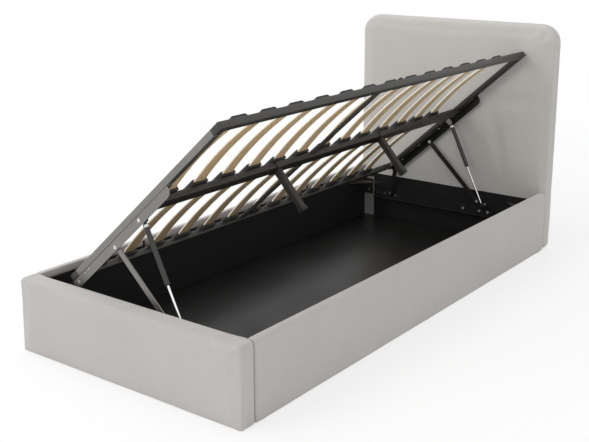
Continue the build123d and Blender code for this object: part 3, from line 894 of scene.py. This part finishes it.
def joint_screws():
    """Two screws in each leg of the corner joints, on the outside of the near rail and the end tubes."""
    bm = bmesh.new()
    head = sunk_profile(socket_head, *joint_screw)
    for x in from_both_ends(end_screw_places, base_width):
        lathe(bm, head, (x, 0, tube_middle), (0, -1, 0))
        lathe(bm, head, (x, base_length, tube_middle), (0, 1, 0))
    for y in from_both_ends(side_screw_places, base_length):
        lathe(bm, head, (base_width, y, tube_middle), (1, 0, 0))
    finish_small(bm, "corner_joint_screws", "grey_steel", "platform", base_to_world, "screw_steel")


def arm_studs():
    """The heads of the strut studs on the outside of the arms, and two small screws on each arm."""
    bm = bmesh.new()
    dome = sunk_profile(plain_dome, stud_radius, stud_height)
    head = sunk_profile(socket_head, *arm_screw)
    for y, way in ((0, -1), (base_length, 1)):
        lathe(bm, dome, (stud_place, y, stud_drop), (0, way, 0))
        for x in arm_screw_places:
            lathe(bm, head, (x, y, arm_screw_drop), (0, way, 0))
    finish_small(bm, "arm_studs", "zinc_steel", "platform", base_to_world)


clip_profile = [
    (0.0079, -0.0028), (0.009, -0.0028), (0.0092, -0.002),
    (0.0092, 0.002), (0.009, 0.0028), (0.0079, 0.0028),
]
crimp_profile = [
    (0.0083, 0.0165), (0.0093, 0.017), (0.0095, 0.0185),
    (0.0095, 0.0245), (0.0093, 0.026), (0.0083, 0.0265),
]
collar_profile = [
    (rim - 0.0004, 0.003), (rim + 0.0005, 0.0035), (rim + 0.0006, 0.0075),
    (rim + 0.0005, 0.008), (rim - 0.0004, 0.0085),
]
ring_profile = [
    (rim - 0.0004, 0.013), (rim + 0.0003, 0.0135),
    (rim + 0.0003, 0.0145), (rim - 0.0004, 0.015),
]
wiper_profile = [(0.0043, -0.002), (0.0058, -0.0018), (0.0066, 0.0005), (0.0066, 0.001), (0.0043, 0.001)]


def strut_dress(end):
    """A clip round the upper eye, a crimped collar at the cylinder's mouth and a wiper round the rod."""
    body = "strut_cylinder_" + end
    y = strut_inset if end == "foot" else base_length - strut_inset
    eye = base_to_world @ Vector((stud_place, y, stud_drop))
    reach = max(vertex.co.dot(strut_axis) for vertex in nodes[body].data.vertices)
    mouth = eye + strut_axis * (reach - eye.dot(strut_axis))
    bm = bmesh.new()
    lathe(bm, clip_profile, eye, (0, 1, 0))
    lathe(bm, crimp_profile, eye, strut_axis)
    finish_small(bm, "strut_clip_" + end, "zinc_steel", body)
    bm = bmesh.new()
    lathe(bm, collar_profile, mouth, -strut_axis)
    lathe(bm, ring_profile, mouth, -strut_axis)
    finish_small(bm, "strut_collar_" + end, "black_steel", body)
    bm = bmesh.new()
    lathe(bm, wiper_profile, mouth, strut_axis)
    finish_small(bm, "strut_wiper_" + end, "black_plastic", body)


joint_screws()
arm_studs()
strut_dress("foot")
strut_dress("head")


# Weld beads

bead_radius, thin_bead_radius, bead_sides = 0.0014, 0.0011, 8
bead_step, fewest_steps, ripple_length, ripple_share = 0.0009, 6, 0.0032, 0.14
end_share, end_rate = 0.35, 6
rail_sides = ((0.445, -1), (0.495, 1))
rail_end, rail_off = 0.03, 0.0006
rail_weld_top, rail_weld_foot = -0.0095, -0.0215
bar_middle, bar_half, bar_off = 0.862, 0.01, 0.0005
bar_weld_top, bar_weld_foot, bar_weld_side = -0.0088, -0.0172, 0.0256
arm_weld_inset, arm_weld_drop, arm_weld_length = 0.0271, -0.0238, 0.028
arm_weld_places = (0.05, 0.15, 0.28, 0.56)


def ring_points(middle, first, second, radius, sides):
    turns = [2 * pi * k / sides for k in range(sides)]
    return [middle + (first * cos(turn) + second * sin(turn)) * radius for turn in turns]


def skin_rings(bm, rings, sides):
    """Closes a row of rings to one solid bar."""
    for a, b in zip(rings, rings[1:]):
        for i in range(sides):
            j = (i + 1) % sides
            bm.faces.new((a[i], a[j], b[j], b[i]))
    bm.faces.new(rings[0][::-1])
    bm.faces.new(rings[-1])


def bead(bm, start, end, radius=bead_radius):
    """A rippled weld bead between two points."""
    start, end = Vector(start), Vector(end)
    run = end - start
    axis = run.normalized()
    side = axis.orthogonal().normalized()
    other = axis.cross(side)
    count = max(fewest_steps, round(run.length / bead_step))
    rings = []
    for k in range(count + 1):
        at = k / count
        taper = min(1.0, end_share + end_rate * at, end_share + end_rate * (1 - at))
        r = radius * taper * (1 + ripple_share * sin(2 * pi * at * run.length / ripple_length))
        points = ring_points(start + run * at, side, other, r, bead_sides)
        rings.append([bm.verts.new(point) for point in points])
    skin_rings(bm, rings, bead_sides)


def rail_welds():
    """Upright beads where the middle rail meets the end tubes and where the cross bars meet the rails."""
    bm = bmesh.new()
    bar_faces = (bar_middle - bar_half - bar_off, bar_middle + bar_half + bar_off)
    for side, out in rail_sides:
        x = side + out * rail_off
        for end, way in ((rail_end, 1), (base_length - rail_end, -1)):
            y = end + way * rail_off
            bead(bm, (x, y, rail_weld_top), (x, y, rail_weld_foot))
        for y in bar_faces:
            bead(bm, (x, y, bar_weld_top), (x, y, bar_weld_foot), thin_bead_radius)
    for y in bar_faces:
        for x in (bar_weld_side, base_width - bar_weld_side):
            bead(bm, (x, y, bar_weld_top), (x, y, bar_weld_foot), thin_bead_radius)
    finish_small(bm, "rail_welds", "dark_steel", "platform", base_to_world)


def arm_welds():
    """Short beads along the arms, under the end tubes."""
    bm = bmesh.new()
    for y in (arm_weld_inset, base_length - arm_weld_inset):
        for x in arm_weld_places:
            bead(bm, (x, y, arm_weld_drop), (x + arm_weld_length, y, arm_weld_drop))
    finish_small(bm, "arm_welds", "grey_steel", "platform", base_to_world)


rail_welds()
arm_welds()


# Cloth on the back of the headboard

cloth_round, cloth_foot_round = 0.046, 0.022
cloth_count, cloth_back_gap = 84, 0.0002
border_steps = (0, 0.002, 0.004, 0.0065, 0.009, 0.0115, 0.0125, 0.016, 0.022)
hem_width, hem_rise, hem_soft = 0.012, 0.0005, 0.0008
sag, sag_scale_x, sag_scale_z, sag_fade = 0.0012, 9, 4, 0.03
strain, strain_scale, strain_start, strain_end, strain_fade = 0.0006, 26, 0.015, 0.1, 0.07
pull_depth, pull_radius, pull_reach = 0.0006, 0.011, 0.06
between_rise, between_reach, between_start, between_fade = 0.0004, 0.03, 0.4, 0.01
staple_inset, staple_gap, staple_clear = 0.0065, 0.07, 0.015
staple_length, staple_radius, staple_sides = 0.0105, 0.00055, 8
staple_bend, staple_sunk = 0.0007, 0.0001
staple_tip, staple_knee, staple_crown = -0.0016, -0.0002, 0.0004


def steps_between(start, end, count):
    """Even places between two ends, with a border of fine steps at each end."""
    inner = border_steps[-1]
    middle = [start + inner + (end - start - 2 * inner) * k / count for k in range(1, count)]
    return [start + s for s in border_steps] + middle + [end - s for s in reversed(border_steps)]


def cloth_half(z, lo, hi):
    """Half the width of the cloth at a height, with its rounded corners."""
    above, below = z - (hi.z - cloth_round), lo.z + cloth_foot_round - z
    for rise, turn in ((above, cloth_round), (below, cloth_foot_round)):
        if rise > 0:
            return hi.x - turn + sqrt(max(0.0, turn * turn - rise * rise))
    return hi.x


def staple_places(lo, hi):
    """Where the staples sit round the hem, as (point, direction) pairs."""
    places = []
    left, right = lo.x + staple_inset, hi.x - staple_inset
    foot, top = lo.z + staple_inset, hi.z - staple_inset
    clear = cloth_round + staple_clear
    count = round((right - left - 2 * clear) / staple_gap)
    for k in range(count + 1):
        x = left + clear + (right - left - 2 * clear) * k / count
        z = foot + clear + (top - foot - 2 * clear) * k / count
        places += [(Vector((x, 0, z_side)), Vector((1, 0, 0))) for z_side in (foot, top)]
        places += [(Vector((x_side, 0, z)), Vector((0, 0, 1))) for x_side in (left, right)]
    diagonal = (cloth_round - staple_inset) * sqrt(0.5)
    for way in (1, -1):
        middle = Vector((way * (hi.x - cloth_round + diagonal), 0, hi.z - cloth_round + diagonal))
        places.append((middle, Vector((way, 0, -1)).normalized()))
    return places


def cloth_height(point, gap, places):
    """How far the cloth stands out: a turned hem, a pull at each staple, and faint ripples. gap is the
    distance from its edge."""
    x, z = point.x, point.z
    height = hem_rise * clamp01((hem_width + hem_soft - gap) / (2 * hem_soft))
    loose = noise.noise(Vector((x * sag_scale_x, 2.0, z * sag_scale_z)))
    height += sag * loose * clamp01(gap / sag_fade)
    tight = clamp01(gap / strain_start) * clamp01((strain_end - gap) / strain_fade)
    height += strain * tight * noise.noise(Vector((x * strain_scale, 5.0, z * strain_scale)))
    if gap < pull_reach:
        pull = min((point - middle).length for middle, along in places)
        height -= pull_depth * exp(-((pull / pull_radius) ** 2))
        between = clamp01(pull / between_reach - between_start)
        height += between_rise * between * clamp01(gap / between_fade)
    return height


def staple(bm, middle, along, out):
    """A wire staple whose two ends go into the cloth."""
    half = along * (staple_length / 2)
    crown = along * (staple_length / 2 - staple_bend)
    across = along.cross(out)
    path = [
        (out * staple_tip - half, along),
        (out * staple_knee - half, (along - out).normalized()),
        (out * staple_crown - crown, -out),
        (out * staple_crown + crown, -out),
        (out * staple_knee + half, (-along - out).normalized()),
        (out * staple_tip + half, -along),
    ]
    rings = []
    for place, second in path:
        points = ring_points(middle + place, across, second, staple_radius, staple_sides)
        rings.append([bm.verts.new(point) for point in points])
    skin_rings(bm, rings, staple_sides)


def cloth_mesh(lo, hi, places):
    """A closed sheet whose outer face follows cloth_height and whose inner face is flat."""
    bm = bmesh.new()
    outer, inner = [], []
    for z in steps_between(lo.z, hi.z, cloth_count):
        half = cloth_half(z, lo, hi)
        outer_row, inner_row = [], []
        for x in steps_between(-half, half, cloth_count):
            gap = min(half - abs(x), z - lo.z, hi.z - z)
            rise = cloth_height(Vector((x, 0, z)), gap, places)
            outer_row.append(bm.verts.new((x, hi.y + rise, z)))
            inner_row.append(bm.verts.new((x, lo.y + cloth_back_gap, z)))
        outer.append(outer_row)
        inner.append(inner_row)
    last = len(outer) - 1
    for i in range(last):
        for k in range(last):
            bm.faces.new((outer[i][k], outer[i + 1][k], outer[i + 1][k + 1], outer[i][k + 1]))
            bm.faces.new((inner[i][k], inner[i][k + 1], inner[i + 1][k + 1], inner[i + 1][k]))
        for k in (0, last):
            bm.faces.new((outer[i][k], outer[i + 1][k], inner[i + 1][k], inner[i][k]))
            bm.faces.new((outer[k][i], outer[k][i + 1], inner[k][i + 1], inner[k][i]))
    return bm


def back_cloth():
    """The thin cloth that closes the back of the headboard, and its staples."""
    lo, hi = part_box("headboard_back_cover")
    places = staple_places(lo, hi)
    cloth = finish_small(cloth_mesh(lo, hi, places), "headboard_back_cloth", "back_fabric", "bed_frame")
    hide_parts("headboard_back_cover")
    bm = bmesh.new()
    for middle, along in places:
        staple(bm, middle + Vector((0, hi.y - staple_sunk, 0)), along, Vector((0, 1, 0)))
    staples = finish_small(bm, "headboard_staples", "zinc_steel", "bed_frame")


back_cloth()


# Floor, light and camera

floor_size, floor_drop = 14, 0.0005
background_strength = 0.83
camera_place = (2.2145, -3.0902, 1.4266)
camera_down, camera_turn = 0.255, 0.6405
camera_lens, camera_sensor, camera_shift, camera_reach = 61.8, 36, (-0.016, -0.06), 60


def add_stage():
    bm = bmesh.new()
    bmesh.ops.create_grid(bm, x_segments=2, y_segments=2, size=floor_size)
    mesh = bpy.data.meshes.new("studio_floor")
    bm.to_mesh(mesh)
    bm.free()
    floor = bpy.data.objects.new("studio_floor", mesh)
    floor.location = (0, 0, -floor_drop)
    mesh.materials.append(floor_material())
    scene.collection.objects.link(floor)


def add_world():
    """White light from all round, a little weaker than the white that the camera sees."""
    world = bpy.data.worlds.new("studio")
    scene.world = world
    world.use_nodes = True
    tree = world.node_tree
    back = tree.nodes["Background"]
    back.inputs["Color"].default_value = (*white, 1)
    back.inputs["Strength"].default_value = background_strength
    seen = node(tree, "ShaderNodeBackground", Color=(*white, 1), Strength=1.0)
    outputs = (back.outputs["Background"], seen.outputs["Background"])
    blend_shaders(tree, seen_directly(tree), *outputs, "World Output")


def add_light(name, place, target, power, size):
    light = bpy.data.lights.new(name, "AREA")
    light.energy = power
    light.shape = "RECTANGLE"
    light.size, light.size_y = size
    obj = bpy.data.objects.new(name, light)
    obj.location = place
    obj.rotation_euler = (Vector(target) - Vector(place)).to_track_quat("-Z", "Y").to_euler()
    obj.visible_camera = False
    scene.collection.objects.link(obj)


def add_camera():
    data = bpy.data.cameras.new("camera")
    data.lens = camera_lens
    data.sensor_width = camera_sensor
    data.shift_x, data.shift_y = camera_shift
    data.clip_end = camera_reach
    camera = bpy.data.objects.new("camera", data)
    camera.location = camera_place
    camera.rotation_euler = (pi / 2 - camera_down, 0, camera_turn)
    scene.collection.objects.link(camera)
    scene.camera = camera


add_stage()
add_world()
add_light("key", place=(-3.6, -6.6, 5.0), target=(0, 0, 0.3), power=172, size=(5, 4))
add_light("top", place=(-2.2, -0.2, 4.6), target=(0, 0, 0.2), power=50, size=(3, 3))
add_light("fill", place=(3.4, -3.2, 1.4), target=(0, 0.6, 0.4), power=12, size=(2, 2))
add_camera()
scene.view_settings.view_transform = "Standard"
